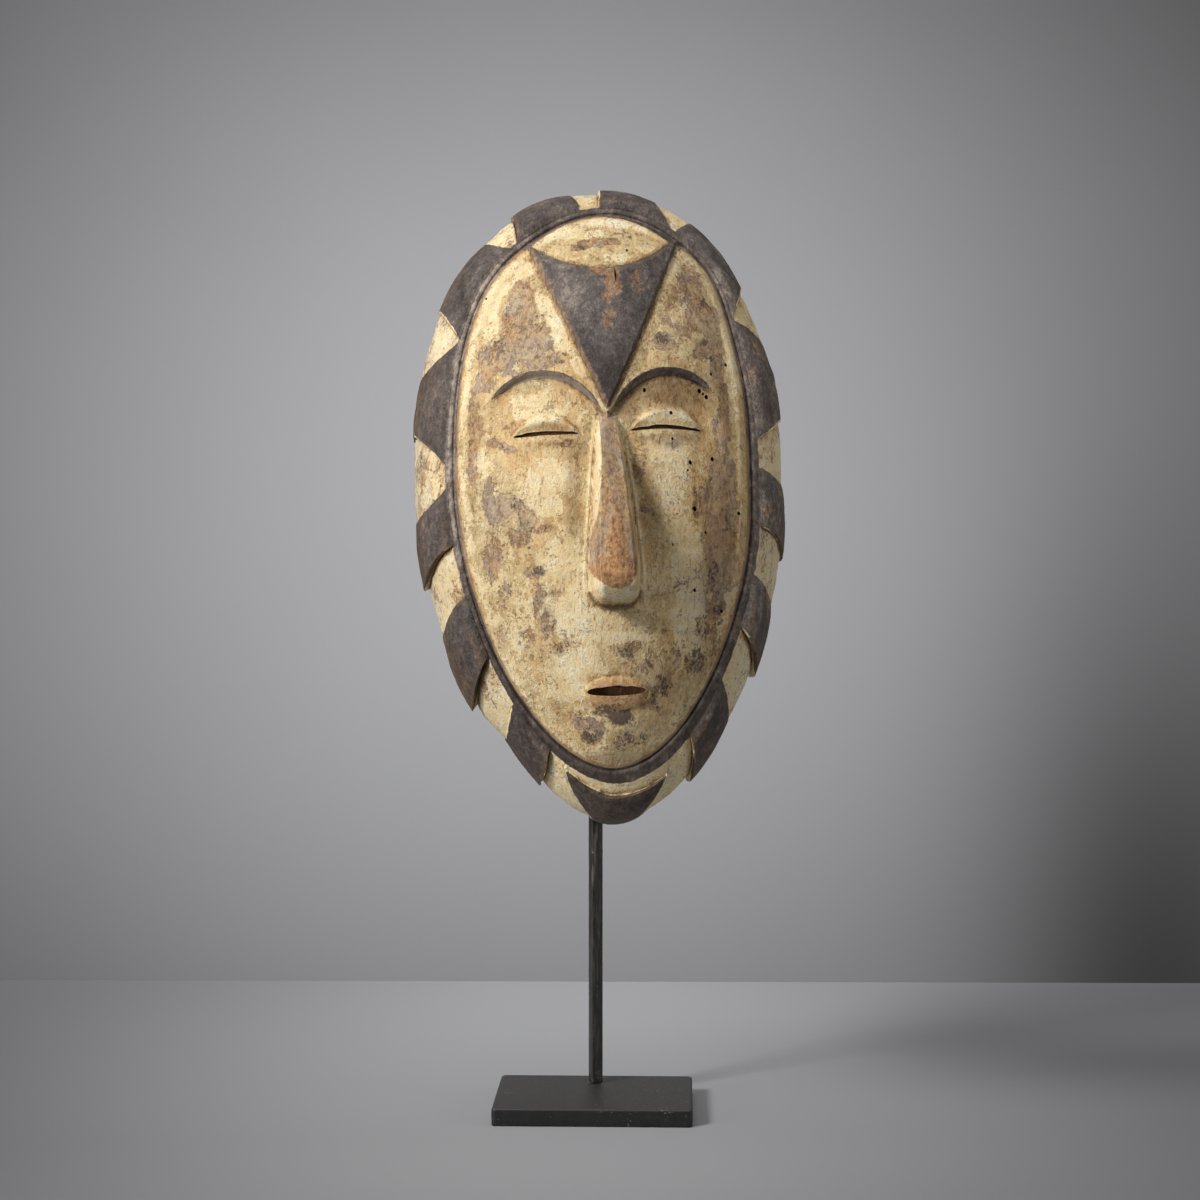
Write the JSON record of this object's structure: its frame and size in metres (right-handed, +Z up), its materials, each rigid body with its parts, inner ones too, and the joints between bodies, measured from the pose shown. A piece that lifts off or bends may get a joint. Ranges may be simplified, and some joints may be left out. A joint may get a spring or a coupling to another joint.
{
  "type": "fang ngil mask on a display stand",
  "caption": "Long oval carved wooden mask with a border of dark and pale fields, hollow behind, on a square steel rod and a plain steel foot plate.",
  "frame": {"origin": "centre of the foot plate's underside", "axes": "+Z up along the rod, -Y out of the mask's face, +X to the viewer's right"},
  "size_m": [0.1919, 0.1291, 0.4701],
  "materials": {
    "painted_wood": "flaking chalky white and worn dark brown paint on wood",
    "rod_paint": "worn satin black",
    "plate_paint": "matt black with small chips"
  },
  "bodies": {
    "root": {"mask": "painted_wood", "rod": "rod_paint", "base_plate": "plate_paint"}
  },
  "joints": []
}
